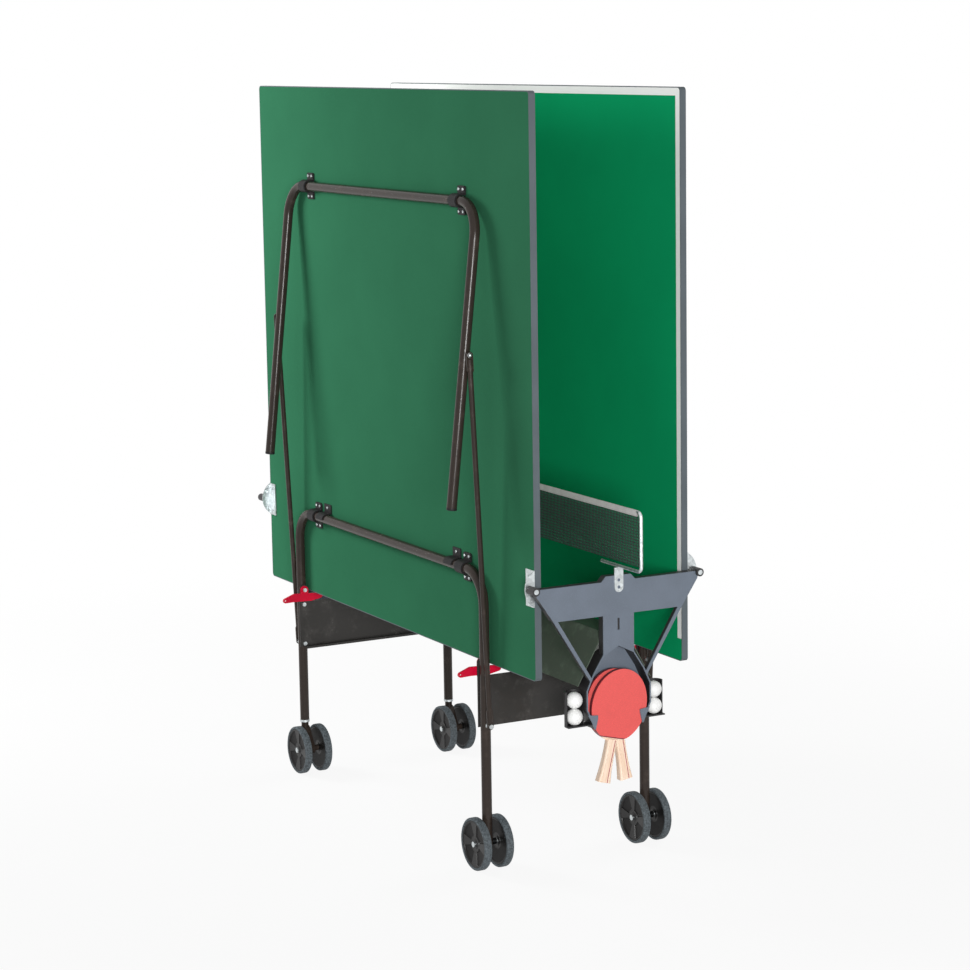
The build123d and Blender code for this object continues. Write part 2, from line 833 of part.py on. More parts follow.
def bat_seat(turn):
    """Middle of a blade turned in the pocket, with both tapered walls a free gap away from it."""
    def reach(way):
        across_blade = way * cos(pocket_lean) * cos(turn) - sin(pocket_lean) * sin(turn)
        along_blade = -way * cos(pocket_lean) * sin(turn) - sin(pocket_lean) * cos(turn)
        return hypot(blade_width / 2 * across_blade, blade_height / 2 * along_blade)

    wall = pocket_half * cos(pocket_lean) + pocket_waist * sin(pocket_lean) - frame_wall - free_gap
    drop = (wall - (reach(1) + reach(-1)) / 2) / sin(pocket_lean)
    return (reach(-1) - reach(1)) / (2 * cos(pocket_lean)), axis_z - drop


for number, y, tilt in ((1, front_bat_y, bat_tilts[0]), (2, back_bat_y, bat_tilts[1])):
    turn = radians(tilt)
    seat_x, seat_z = bat_seat(turn)
    middle = Plane(origin=(seat_x, y, seat_z), x_dir=(cos(turn), 0, sin(turn)), z_dir=(0, -1, 0))
    with BuildPart() as blade:
        with BuildSketch(middle):
            Ellipse(blade_width / 2, blade_height / 2)
            Polygon(
                (-neck_width / 2, -rubber_chord),
                (neck_width / 2, -rubber_chord),
                (handle_width / 2, -handle_start - handle_round),
                (-handle_width / 2, -handle_start - handle_round),
                align=None,
            )
        extrude(amount=blade_thickness / 2, both=True)
        for along, width, thickness in grip_sections:
            station = middle.from_local_coords((0, -handle_start - along, 0))
            with BuildSketch(Plane(origin=station, x_dir=middle.x_dir, z_dir=-middle.y_dir)):
                RectangleRounded(width, thickness, handle_round)
        loft()
    save(blade, f"bat_{number}_blade")

    for face, way in (("front", -1), ("back", 1)):
        with BuildPart() as rubber:
            with BuildSketch(middle.offset(way * blade_thickness / 2)):
                Ellipse(blade_width / 2, blade_height / 2)
                with Locations((0, -rubber_chord - blade_height / 2)):
                    Rectangle(2 * blade_width, blade_height, mode=Mode.SUBTRACT)
            extrude(amount=way * rubber_thickness)
        save(rubber, f"bat_{number}_rubber_{face}")


# Balls, two in each trough of the right end plate
for side, s in sides:
    for place, level in (("low", 0), ("high", 1)):
        with BuildPart() as ball:
            with Locations((
                s * trough_x,
                trough_y,
                cage_floor + free_gap + ball_diameter / 2 + level * (ball_diameter + free_gap),
            )):
                Sphere(ball_diameter / 2)
        save(ball, f"ball_{side}_{place}")


# Net on its posts
with BuildPart() as net_mesh:
    with BuildSketch(Plane.YZ.offset(-net_thickness / 2)):
        mesh_top = net_top - tape_height
        column = (2 * net_half_length - net_cord) / net_columns
        row = (mesh_top - net_low - net_cord) / net_rows
        with Locations((0, (net_low + mesh_top) / 2)):
            outline = Rectangle(2 * net_half_length, mesh_top - net_low)
            fillet(outline.vertices(), radius=rod_bend)
            with GridLocations(column, row, net_columns, net_rows):
                Rectangle(column - net_cord, row - net_cord, mode=Mode.SUBTRACT)
    extrude(amount=net_thickness)
save(net_mesh, "net_mesh")

with BuildPart() as net_tape:
    with Locations((0, 0, net_top - tape_height / 2)):
        Box(tape_thickness, 2 * (post_y - rod_bend - free_gap), tape_height)
save(net_tape, "net_tape")

for end, e in ends:
    with BuildPart() as net_post:
        with BuildLine(Plane.YZ) as path:
            post = FilletPolyline(
                (e * rod_inner, rod_z), (e * post_y, rod_z), (e * post_y, net_top - rod_diameter / 2 - rod_bend),
                radius=rod_bend,
            )
            TangentArc(
                post @ 1, (e * (post_y - rod_bend), net_top - rod_diameter / 2), tangent=post % 1
            )
        with BuildSketch(Plane(origin=path.line @ 0, z_dir=path.line % 0)):
            Circle(rod_diameter / 2)
        sweep(path=path.line)
    save(net_post, f"net_post_{end}")

# Net brackets: strap with a round lower end, screwed to the end plate under the rod
with BuildPart() as net_brackets:
    for end, e in ends:
        strap_low = axis_z - net_bracket_drop + net_bracket_width / 2
        strap_top = rod_z - rod_diameter / 2
        with BuildSketch(across(max(e * plate_front, e * (plate_front + net_bracket_sheet)))):
            with Locations((0, (strap_low + strap_top) / 2)):
                Rectangle(net_bracket_width, strap_top - strap_low)
            with Locations((0, strap_low)):
                Circle(net_bracket_width / 2)
            for level in (strap_low, strap_low + net_hole_spacing):
                with Locations((0, level)):
                    Circle(net_hole / 2, mode=Mode.SUBTRACT)
        extrude(amount=net_bracket_sheet)
save(net_brackets, "net_brackets")
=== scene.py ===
"""Looks of a folding ping pong table, stored upright on its trolley."""

import json
import math

import bpy
from bpy.props import FloatProperty, FloatVectorProperty, IntProperty, PointerProperty
from bpy.types import Operator, Panel, PropertyGroup
from mathutils import Matrix, Vector


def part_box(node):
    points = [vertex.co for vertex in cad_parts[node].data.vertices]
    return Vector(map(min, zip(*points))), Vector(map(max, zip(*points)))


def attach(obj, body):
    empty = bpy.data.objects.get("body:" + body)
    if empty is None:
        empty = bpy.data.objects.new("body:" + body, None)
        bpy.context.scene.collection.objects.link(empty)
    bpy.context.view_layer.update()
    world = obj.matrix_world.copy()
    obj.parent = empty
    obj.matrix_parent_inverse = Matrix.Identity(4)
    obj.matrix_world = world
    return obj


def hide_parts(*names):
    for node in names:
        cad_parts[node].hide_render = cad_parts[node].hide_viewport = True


bl_info = {
    "name": "Stored ping pong table",
    "version": (1, 0, 0),
    "blender": (4, 5, 0),
    "location": "View3D > Sidebar > Table",
    "description": "Finishes, net, wheels and screws of a folding ping pong table",
    "category": "Object",
}

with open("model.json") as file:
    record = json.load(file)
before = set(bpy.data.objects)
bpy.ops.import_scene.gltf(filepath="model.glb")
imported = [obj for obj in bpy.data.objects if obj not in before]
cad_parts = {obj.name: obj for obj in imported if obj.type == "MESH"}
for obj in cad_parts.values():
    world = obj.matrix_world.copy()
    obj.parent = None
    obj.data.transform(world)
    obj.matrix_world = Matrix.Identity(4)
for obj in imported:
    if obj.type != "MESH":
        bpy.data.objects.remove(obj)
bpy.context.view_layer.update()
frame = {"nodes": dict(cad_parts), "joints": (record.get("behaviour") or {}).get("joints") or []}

JOINTS = {joint["name"]: joint for joint in frame["joints"]}
AXIS_X, _, AXIS_Z = JOINTS["fold_a"]["pos_m"]
PIVOT_Z = JOINTS["leg_turn_a"]["pos_m"][2]
BOARD_LOW, BOARD_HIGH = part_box("board_a")
BAND_LOW, BAND_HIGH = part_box("edge_band_a")
UNDERSIDE = BOARD_HIGH.x
SIDES = (("a", 1), ("b", -1))
ENDS = (("right", 1), ("left", -1))
MM = 0.001

# Bats, braces and holes for screws, as in the model
BLADE_WIDTH = 150 * MM
BLADE_HEIGHT = 176 * MM
BAT_TILTS = (14.0, -9.0)
BRACE_EYE = 8.5 * MM
CLAMP_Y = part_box("clamps_a")[1].y - 18 * MM
CLAMP_HOLES = (11 * MM, 26.5 * MM)
CLAMP_WALL = 4 * MM
TAB_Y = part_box("stop_tabs_a")[1].y - 20 * MM
TAB_HOLE = 28.5 * MM
BRACKET_Y = BAND_HIGH.y - 21.5 * MM
BRACKET_HOLE = 30 * MM
BRACKET_WALL = 3 * MM
NUT_SEAT = 4 * MM
AXLE_NUT_SEAT = 5.8 * MM

# Bat handles, measured from the middle of the blade
HANDLE_TOP = -84 * MM
HANDLE_LINE = -5.5 * MM
HANDLE_LINE_WIDTH = 2 * MM
BLADE_FADE_MM = (-81.0, -79.0)

# Wheels, with spokes in degrees
WHEEL_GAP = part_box("wheel_a_right_outer")[0].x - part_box("wheel_a_right_inner")[1].x
SHAFT_REACH = 2 * MM
TYRE_DEPTH = 7 * MM
TYRE_SHOULDER = 4 * MM
DISC_LAP = 0.4 * MM
BEAD_WIDTH = 5 * MM
WEB_START = 20 * MM
DISC_CREASE = 28.0
SPOKE_PITCH = 90.0
SPOKE_HALF = 15.0
WEDGE_INSET = 1.2 * MM
WEDGE_DEPTH = 2 * MM

# Net tape, with threads and stitches in radians along a metre
TAPE_THREADS = 4200.0
STITCHES = 1250.0
STITCH_WIDTH = 1 * MM
STITCH_RISE = 2.5 * MM
TAPE_FOLD = 1.2 * MM
TAPE_CUTS = 120
TAPE_SWAY = 0.6 * MM

# Stage
FLOOR_SIZE = 60.0
FLOOR_WHITE = 0.91
FLOOR_FADE = (1.2, 3.5)
SOFT_LIGHT = 0.22

# Camera of the photograph, focal length in its pixels
PHOTO_SIZE = 970
CAMERA_FOCAL = 2732.4
CAMERA_AZIMUTH = 152.07
CAMERA_ELEVATION = 9.26
CAMERA_ROLL = -0.896
CAMERA_PLACE = (3.2233, 6.2091, 1.9911)
SENSOR_WIDTH = 36.0


class Wire:
    """A shader socket that can be used in sums: each operator adds one Math node."""

    def __init__(self, recipe, socket):
        self.recipe = recipe
        self.socket = socket

    def maths(self, operation, *values):
        return self.recipe.node("ShaderNodeMath", {"operation": operation}, values)

    def __add__(self, other):
        return self.maths("ADD", self, other)

    def __radd__(self, other):
        return self.maths("ADD", other, self)

    def __sub__(self, other):
        return self.maths("SUBTRACT", self, other)

    def __rsub__(self, other):
        return self.maths("SUBTRACT", other, self)

    def __mul__(self, other):
        return self.maths("MULTIPLY", self, other)

    def __rmul__(self, other):
        return self.maths("MULTIPLY", other, self)

    def __pow__(self, other):
        return self.maths("POWER", self, other)

    def __abs__(self):
        return self.maths("ABSOLUTE", self)

    def __gt__(self, other):
        return self.maths("GREATER_THAN", self, other)

    def __lt__(self, other):
        return self.maths("LESS_THAN", self, other)

    def most(self, other):
        return self.maths("MAXIMUM", self, other)

    def wave(self):
        return self.maths("SINE", self)

    def step(self, start, end):
        """0 below start, 1 above end and smooth between them."""
        settings = {"interpolation_type": "SMOOTHSTEP"}
        return self.recipe.node("ShaderNodeMapRange", settings, {0: self, 1: start, 2: end})


class Recipe:
    """One material or world, built node by node on the object's own coordinates."""

    def __init__(self, name, world=None):
        self.material = world or bpy.data.materials.new(name)
        self.material.use_nodes = True
        self.tree = self.material.node_tree
        self.tree.nodes.clear()
        self.place = self.node("ShaderNodeTexCoord", output="Object")
        self.split = None

    def node(self, kind, settings=None, inputs=(), output=0):
        """Add a node: its settings first, then the values or links of its sockets."""
        made = self.tree.nodes.new(kind)
        for key, value in (settings or {}).items():
            setattr(made, key, value)
        pairs = inputs.items() if isinstance(inputs, dict) else enumerate(inputs)
        for key, value in pairs:
            if isinstance(value, Wire):
                self.tree.links.new(value.socket, made.inputs[key])
            else:
                made.inputs[key].default_value = value
        return Wire(self, made.outputs[output]) if made.outputs else None

    def axes(self):
        """Object coordinates as three values, in metres."""
        if self.split is None:
            first = self.node("ShaderNodeSeparateXYZ", inputs=[self.place])
            outputs = first.socket.node.outputs
            self.split = [Wire(self, outputs[i]) for i in range(3)]
        return self.split

    def noise(self, scale, detail=3.0, roughness=0.55, place=None):
        """Cloudy values about 0.5; the scale counts waves in a metre."""
        inputs = {"Vector": place or self.place, "Scale": scale}
        inputs.update({"Detail": detail, "Roughness": roughness})
        return self.node("ShaderNodeTexNoise", {}, inputs)

    def cells(self, scale, output="Distance"):
        """Irregular cells; the scale counts them along a metre."""
        inputs = {"Vector": self.place, "Scale": scale}
        return self.node("ShaderNodeTexVoronoi", {}, inputs, output)

    def stretched(self, place, scale):
        """Coordinates scaled unevenly, for grain that runs one way."""
        return self.node("ShaderNodeVectorMath", {"operation": "MULTIPLY"}, [place, scale])

    def mix(self, factor, low, high):
        """Blend two colours."""
        def full(colour):
            return colour if isinstance(colour, Wire) else (*colour[:3], 1.0)
        inputs = {0: factor, 6: full(low), 7: full(high)}
        return self.node("ShaderNodeMix", {"data_type": "RGBA"}, inputs, 2)

    def turned(self, place, angle):
        """Object coordinates centred on a place and turned with a piece that leans sideways."""
        inputs = {"Vector": self.place, "Location": place, "Rotation": (0, -angle, 0)}
        first = self.node("ShaderNodeMapping", {"vector_type": "TEXTURE"}, inputs)
        outputs = self.node("ShaderNodeSeparateXYZ", inputs=[first]).socket.node.outputs
        return first, [Wire(self, outputs[i]) for i in range(3)]

    def seen_ground(self):
        """1 for rays that look at the ground directly, in a reflection or through something."""
        outputs = self.node("ShaderNodeLightPath").socket.node.outputs
        kinds = ("Camera", "Glossy", "Transmission")
        camera, glossy, through = [Wire(self, outputs[f"Is {kind} Ray"]) for kind in kinds]
        return camera.most(glossy).most(through)

    def bump(self, height, strength, distance):
        """Normals tilted by a height map; the distance is its depth in metres."""
        inputs = {"Height": height, "Strength": strength, "Distance": distance}
        return self.node("ShaderNodeBump", {}, inputs)

    def finish(self, colour, roughness, normal=None, **fixed):
        """Close the recipe with a Principled shader and return the material."""
        inputs = {"Base Color": colour if isinstance(colour, Wire) else (*colour[:3], 1.0)}
        inputs["Roughness"] = roughness
        if normal is not None:
            inputs["Normal"] = normal
        inputs.update({key.replace("_", " "): value for key, value in fixed.items()})
        shader = self.node("ShaderNodeBsdfPrincipled", {}, inputs)
        self.node("ShaderNodeOutputMaterial", {}, [shader])
        return self.material


def tint(colour, factor):
    """A colour made lighter or darker, within what a colour can be."""
    return tuple(min(1.0, max(0.0, channel * factor)) for channel in colour)


# Finishes


def board_paint(colours, sizes):
    """Matt green boards: plain underside, playing face with its white lines."""
    r = Recipe("board_paint")
    x, y, z = r.axes()
    grain = r.noise(900.0, 2.0)
    cloud = r.noise(2.2, 4.0)
    under = r.mix(cloud.step(0.3, 0.75), tint(colours.underside, 0.93), tint(colours.underside, 1.07))
    under = r.mix(grain.step(0.45, 0.75), under, tint(colours.underside, 1.2))
    play = r.mix(cloud.step(0.3, 0.75), tint(colours.playing, 0.95), tint(colours.playing, 1.05))
    side_line = abs(y) > BAND_HIGH.y - sizes.line_width
    side_end = z - BAND_LOW.z > sizes.line_stop
    end_line = z > BAND_HIGH.z - sizes.line_width
    centre_line = abs(y) < sizes.centre_line / 2
    lines = (side_line * side_end).most(end_line).most(centre_line)
    scuff = r.noise(140.0, 4.0, 0.7).step(0.62, 0.8)
    white = r.mix(scuff, colours.line, tint(colours.line, 0.9))
    face = abs(x) < (abs(BOARD_LOW.x) + abs(BOARD_HIGH.x)) / 2
    colour = r.mix(face, under, r.mix(lines, play, white))
    rough = 0.62 - face * 0.1 + (grain - 0.5) * 0.12
    return r.finish(colour, rough, r.bump(grain, 0.12, 0.0004), Specular_IOR_Level=0.0)


def plain_plastic(name, colour, roughness, spread=0.06, shine=0.5):
    """Moulded plastic with a fine eggshell and slight tone changes."""
    r = Recipe(name)
    skin = r.noise(700.0, 2.0)
    cloud = r.noise(9.0, 3.0)
    tone = r.mix(cloud.step(0.3, 0.7), tint(colour, 1 - spread), tint(colour, 1 + spread))
    rough = roughness + (skin - 0.5) * 0.15
    return r.finish(tone, rough, r.bump(skin, 0.15, 0.0004), Specular_IOR_Level=shine)


def powder_coat(name, colour, roughness=0.17, shine=0.22):
    """Powder coated steel: fine orange peel, dulled here and there."""
    r = Recipe(name)
    peel = r.noise(420.0, 2.0)
    wear = r.noise(24.0, 5.0, 0.65)
    tone = r.mix(wear.step(0.5, 0.8), colour, tint(colour, 1.8))
    rough = roughness + wear.step(0.4, 0.8) * 0.14
    return r.finish(tone, rough, r.bump(peel, 0.1, 0.0005), Specular_IOR_Level=shine)


def zinc_plate(colour):
    """Bright zinc plating with its cloudy crystals."""
    r = Recipe("zinc_plate")
    spangle = r.cells(160.0, "Color")
    grey = r.node("ShaderNodeSeparateColor", {}, [spangle])
    haze = r.noise(60.0, 4.0)
    tone = r.mix(grey * 0.6 + haze * 0.4, tint(colour, 0.7), tint(colour, 1.3))
    rough = 0.26 + grey * 0.14 + haze * 0.1
    return r.finish(tone, rough, r.bump(haze, 0.05, 0.0005), Metallic=1.0)


def axle_steel(colour):
    """Plated bolt heads on axles, with painted shade on the shafts between the wheels of a pair."""
    r = Recipe("axle_steel")
    x, _, _ = r.axes()
    haze = r.noise(60.0, 4.0)
    shaft_shade = abs(abs(x) - AXIS_X) < WHEEL_GAP / 2 + SHAFT_REACH
    tone = r.mix(haze, tint(colour, 0.85), tint(colour, 1.1))
    # Painted shade: the shaft between the two wheels of a pair is made nearly black
    tone = r.mix(shaft_shade, tone, tint(colour, 0.08))
    return r.finish(tone, 0.3 + haze * 0.12, r.bump(haze, 0.05, 0.0005), Metallic=1.0)


def face_grey(colour):
    """Grey end plates: fine mottled lacquer on a flat sheet."""
    r = Recipe("face_grey")
    speck = r.noise(520.0, 3.0)
    cloud = r.noise(14.0, 3.0)
    tone = r.mix(cloud.step(0.3, 0.7), tint(colour, 0.94), tint(colour, 1.06))
    tone = r.mix(speck.step(0.5, 0.75), tone, tint(colour, 1.22))
    return r.finish(tone, 0.5 + (speck - 0.5) * 0.2, r.bump(speck, 0.14, 0.0004))


def tyre_rubber(colour):
    """Grey tyre rubber, speckled and a little dusty."""
    r = Recipe("tyre_rubber")
    speck = r.noise(210.0, 4.0, 0.75)
    dust = r.noise(40.0, 4.0)
    tone = r.mix(speck.step(0.40, 0.62), tint(colour, 0.45), tint(colour, 1.35))
    tone = r.mix(dust.step(0.5, 0.85) * 0.35, tone, tint(colour, 1.6))
    return r.finish(tone, 0.72 + (speck - 0.5) * 0.2, r.bump(speck, 0.3, 0.0006))


def net_cord(colour):
    """Dark knotted cord with its twist."""
    r = Recipe("net_cord")
    fibre = r.noise(1500.0, 3.0, 0.7)
    tone = r.mix(fibre.step(0.35, 0.75), tint(colour, 0.6), tint(colour, 1.9))
    return r.finish(tone, 0.85, r.bump(fibre, 0.4, 0.0005))


def tape_weave(colour, stitch_z):
    """Woven white tape with a row of stitches along its lower edge."""
    r = Recipe("tape_weave")
    _, y, z = r.axes()
    warp = (y * TAPE_THREADS).wave()
    weft = (z * TAPE_THREADS).wave()
    weave = warp * weft * 0.5 + 0.5
    soil = r.noise(30.0, 5.0, 0.7)
    grain = r.noise(420.0, 3.0, 0.7)
    row = abs(z - stitch_z) < STITCH_WIDTH / 2
    dash = (y * STITCHES).wave() > -0.3
    tone = r.mix(soil.step(0.4, 0.75), colour, tint(colour, 0.86))
    tone = r.mix(grain.step(0.5, 0.8), tone, tint(colour, 0.72))
    tone = r.mix(row * dash, tone, tint(colour, 0.6))
    height = weave * 0.6 + row * dash * 0.6
    return r.finish(tone, 0.88, r.bump(height, 0.35, 0.0005))


def bat_rubber(name, colour):
    """Bat covering: rows of low pimples under a slightly shiny skin."""
    r = Recipe(name)
    dot = r.cells(520.0)
    rub = r.noise(30.0, 4.0)
    # Painted shade: darker in the hollows between the pimples and lighter on their tops
    tone = r.mix(dot.step(0.1, 0.6), tint(colour, 1.08), tint(colour, 0.9))
    tone = r.mix(rub.step(0.5, 0.8) * 0.4, tone, tint(colour, 0.82))
    return r.finish(tone, 0.48 + rub * 0.12, r.bump(1.0 - dot, 0.25, 0.0004))


def bat_wood(name, colours, place, tilt):
    """Pale handle with long grain and a dark inlaid line, and the painted edge of the blade."""
    r = Recipe(name)
    local, (across, _, along) = r.turned(place, tilt)
    grain = r.stretched(local, (240.0, 240.0, 14.0))
    streak = r.noise(1.0, 5.0, 0.6, grain)
    fine = r.noise(4.0, 3.0, 0.6, grain)
    tone = r.mix(streak.step(0.35, 0.75), colours.wood, colours.wood_dark)
    tone = r.mix(fine.step(0.55, 0.8) * 0.35, tone, tint(colours.wood_dark, 0.85))
    line = (abs(across - HANDLE_LINE) < HANDLE_LINE_WIDTH / 2) * (along < HANDLE_TOP)
    tone = r.mix(line, tone, tint(colours.blade_edge, 2.6))
    edge = (along * (1 / MM)).step(*BLADE_FADE_MM)
    tone = r.mix(edge, tone, r.mix(fine, colours.blade_edge, tint(colours.blade_edge, 1.6)))
    return r.finish(tone, 0.5 + (fine - 0.5) * 0.2, r.bump(fine, 0.15, 0.0004))


def ball_shell(colour):
    """Matt celluloid with faint handling marks."""
    r = Recipe("ball_shell")
    mark = r.noise(90.0, 4.0, 0.7)
    tone = r.mix(mark.step(0.6, 0.85), colour, tint(colour, 0.9))
    return r.finish(tone, 0.42 + mark * 0.1, r.bump(mark, 0.03, 0.0003))


# Modelling helpers


def deselect():
    """Leave edit mode with nothing selected."""
    if bpy.context.mode != "OBJECT":
        bpy.ops.object.mode_set(mode="OBJECT")
    bpy.ops.object.select_all(action="DESELECT")


def make_active(piece):
    """Select one piece only."""
    deselect()
    piece.select_set(True)
    bpy.context.view_layer.objects.active = piece


def edit(piece):
    """Open a piece in edit mode with no face selected."""
    make_active(piece)
    bpy.ops.object.mode_set(mode="EDIT")
    bpy.ops.mesh.select_mode(type="FACE")
    bpy.ops.mesh.select_all(action="DESELECT")


def pick_faces(piece, wanted):
    """Select the faces that a test on centre and normal accepts, in edit mode."""
    bpy.ops.mesh.select_all(action="DESELECT")
    bpy.ops.object.mode_set(mode="OBJECT")
    for face in piece.data.polygons:
        face.select = wanted(face.center, face.normal)
    bpy.ops.object.mode_set(mode="EDIT")


def settle(piece, name, angle=35.0):
    """Put the place into the mesh, shade the piece and name it."""
    make_active(piece)
    bpy.ops.object.transform_apply(location=True, rotation=True, scale=True)
    bpy.ops.object.shade_smooth_by_angle(angle=math.radians(angle))
    piece.name = name
    piece.data.name = name
    return piece


def turned(name, profile, steps, angle=35.0):
    """Spin a profile of radius and height about Z into a shape of its own."""
    deselect()
    bpy.ops.mesh.primitive_plane_add(size=0.001, location=(0, 0, 0))
    piece = bpy.context.object
    bpy.ops.object.mode_set(mode="EDIT")
    bpy.ops.mesh.select_mode(type="VERT")
    bpy.ops.mesh.select_all(action="SELECT")
    bpy.ops.mesh.merge(type="CENTER")
    bpy.ops.transform.translate(value=(profile[0][0], 0, profile[0][1]))
    for (radius, height), (next_radius, next_height) in zip(profile, profile[1:]):
        step = (next_radius - radius, 0, next_height - height)
        bpy.ops.mesh.extrude_vertices_move(TRANSFORM_OT_translate={"value": step})
    bpy.ops.mesh.select_all(action="SELECT")
    bpy.ops.mesh.spin(steps=steps, angle=2 * math.pi, center=(0, 0, 0), axis=(0, 0, 1))
    bpy.ops.mesh.select_all(action="SELECT")
    bpy.ops.mesh.remove_doubles(threshold=0.000002)
    bpy.ops.mesh.normals_make_consistent(inside=False)
    bpy.ops.object.mode_set(mode="OBJECT")
    return settle(piece, name, angle)


def arc(centre, radius, start, end, steps):
    """Points of an arc in a profile, with angles in degrees."""
    turns = [math.radians(start + (end - start) * i / steps) for i in range(steps + 1)]
    return [(centre[0] + radius * math.cos(a), centre[1] + radius * math.sin(a)) for a in turns]


def apply_modifier(piece, kind, **settings):
    """Add a modifier with its settings and apply it."""
    make_active(piece)
    bpy.ops.object.modifier_add(type=kind)
    modifier = piece.modifiers[-1]
    for key, value in settings.items():
        setattr(modifier, key, value)
    bpy.ops.object.modifier_apply(modifier=modifier.name)


def paint(piece, material):
    """Give a new piece its only material."""
    piece.data.materials.clear()
    piece.data.materials.append(material)


def paint_nodes(material, *names):
    """Give nodes of the model a material in all their slots."""
    for name in names:
        node = frame["nodes"][name]
        if not node.material_slots:
            node.data.materials.append(material)
        for slot in node.material_slots:
            slot.material = material


def copies(master, name, places):
    """Join copies of a finished master, one for each matrix, into one piece."""
    made = []
    for place in places:
        copy = master.copy()
        copy.data = master.data.copy()
        bpy.context.collection.objects.link(copy)
        copy.matrix_world = place
        made.append(copy)
    deselect()
    for copy in made:
        copy.select_set(True)
    bpy.context.view_layer.objects.active = made[0]
    bpy.ops.object.transform_apply(location=True, rotation=True, scale=True)
    if len(made) > 1:
        bpy.ops.object.join()
    made[0].name = name
    made[0].data.name = name
    return made[0]


def remove(piece):
    """Delete a master after its copies are made."""
    make_active(piece)
    bpy.ops.object.delete()


def facing(direction, place, turn=0.0):
    """Matrix that turns a piece's +Z to a direction and puts it at a place."""
    aim = Vector(direction).to_track_quat("Z", "Y").to_matrix().to_4x4()
    return Matrix.Translation(place) @ aim @ Matrix.Rotation(turn, 4, "Z")


def group_names(start):
    """Names of the nodes that begin alike."""
    return [name for name in frame["nodes"] if name.startswith(start)]


def blade_middle(number, tilt):
    """Middle of a leaning oval blade, from the box of its front rubber."""
    low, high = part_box(f"bat_{number}_rubber_front")
    rise = math.hypot(BLADE_WIDTH / 2 * math.sin(tilt), BLADE_HEIGHT / 2 * math.cos(tilt))
    return ((low.x + high.x) / 2, 0, high.z - rise)


# Settings


class TableSizes(PropertyGroup):
    """Sizes of the drawn and modelled details."""

    line_width: FloatProperty(
        name="Line width", description="Width of the side and end lines", default=0.020, unit="LENGTH"
    )
    centre_line: FloatProperty(
        name="Centre line", description="Width of the centre line", default=0.003, unit="LENGTH"
    )
    line_stop: FloatProperty(
        name="Line stop", description="Height above the net edge where the side lines end",
        default=0.055, unit="LENGTH",
    )
    net_pitch: FloatProperty(
        name="Net pitch", description="Distance between cords of the net", default=0.0070, unit="LENGTH"
    )
    net_cord: FloatProperty(
        name="Net cord", description="Thickness of a net cord", default=0.00255, unit="LENGTH"
    )
    screw_head: FloatProperty(
        name="Screw head", description="Diameter of a screw head", default=0.0075, unit="LENGTH"
    )
    wheel_facets: IntProperty(
        name="Wheel facets", description="Sides of the round wheels", default=72, min=24
    )


def colour_property(name, description, default):
    """A colour setting."""
    return FloatVectorProperty(
        name=name, description=description, default=default, subtype="COLOR", size=3, min=0.0, max=1.0
    )


class TableColours(PropertyGroup):
    """Base colours of the finishes."""

    underside: colour_property("Underside", "Paint on the back of the boards", (0.029, 0.138, 0.071))
    playing: colour_property("Playing face", "Paint on the playing side", (0.0045, 0.312, 0.118))
    line: colour_property("Lines", "Painted lines", (0.92, 0.92, 0.91))
    band: colour_property("Edge band", "Plastic edge of the boards", (0.098, 0.117, 0.130))
    steel: colour_property("Steel", "Powder coat on tubes", (0.031, 0.0230, 0.0190))
    plate: colour_property("Side plates", "Powder coat on the side plates", (0.034, 0.032, 0.030))
    # The beam colour is a dark coat tinted green and lightened as a painted reflection of the green
    # boards
    beam: colour_property("Beam", "Coat of the centre beam", (0.085, 0.105, 0.082))
    face: colour_property("End plate", "Grey front of the end plates", (0.121, 0.145, 0.182))
    moulding: colour_property("Moulding", "Dark plastic", (0.016, 0.015, 0.016))
    zinc: colour_property("Zinc", "Plated brackets and bolts", (0.60, 0.64, 0.65))
    lever: colour_property("Lever", "Red storage levers", (0.536, 0.002, 0.027))
    tyre: colour_property("Tyre", "Tyre rubber", (0.074, 0.090, 0.100))
    disc: colour_property("Wheel disc", "Dark wheel discs", (0.0075, 0.0070, 0.0070))
    net: colour_property("Net", "Net cord", (0.021, 0.035, 0.032))
    tape: colour_property("Tape", "Band along the net", (0.66, 0.64, 0.63))
    rubber: colour_property("Bat rubber", "Red bat covering", (0.760, 0.100, 0.092))
    wood: colour_property("Bat wood", "Blade and handle", (0.900, 0.715, 0.575))
    wood_dark: colour_property("Wood grain", "Darker grain of the wood", (0.780, 0.550, 0.385))
    rubber_back: colour_property("Back rubber", "Black bat covering", (0.02, 0.02, 0.02))
    blade_edge: colour_property(
        "Blade edge", "Edge of the blades and line on the handles", (0.130, 0.012, 0.022)
    )
    ball: colour_property("Ball", "Ball shell", (0.84, 0.84, 0.83))


class TableSettings(PropertyGroup):
    """All settings of the table."""

    sizes: PointerProperty(type=TableSizes)
    colours: PointerProperty(type=TableColours)


# Pieces


class TABLE_OT_boards(Operator):
    """Paint the two halves and their edge bands"""

    bl_idname = "table.boards"
    bl_label = "Boards"

    def execute(self, context):
        settings = context.scene.ping_pong_table
        paint_nodes(board_paint(settings.colours, settings.sizes), "board_a", "board_b")
        band = plain_plastic("band_plastic", settings.colours.band, 0.55, shine=0.2)
        paint_nodes(band, "edge_band_a", "edge_band_b")
        return {"FINISHED"}


class TABLE_OT_frame(Operator):
    """Coat the tubes, braces, plates and clamps"""

    bl_idname = "table.frame"
    bl_label = "Frame"

    def execute(self, context):
        colours = context.scene.ping_pong_table.colours
        coat = powder_coat("tube_coat", colours.steel, shine=0.19)
        for start in ("wheel_leg", "outer_leg", "brace", "caster"):
            paint_nodes(coat, *group_names(start))
        paint_nodes(powder_coat("plate_coat", colours.plate), "side_plate_right", "side_plate_left")
        # Dark coat with a painted green reflection of the boards on the centre beam
        paint_nodes(powder_coat("beam_coat_and_reflection", colours.beam, 0.4), "centre_beam")
        plastic = plain_plastic("clamp_plastic", colours.moulding, 0.5, shine=0.15)
        for start in ("clamps", "stop_tabs", "feet"):
            paint_nodes(plastic, *group_names(start))
        return {"FINISHED"}


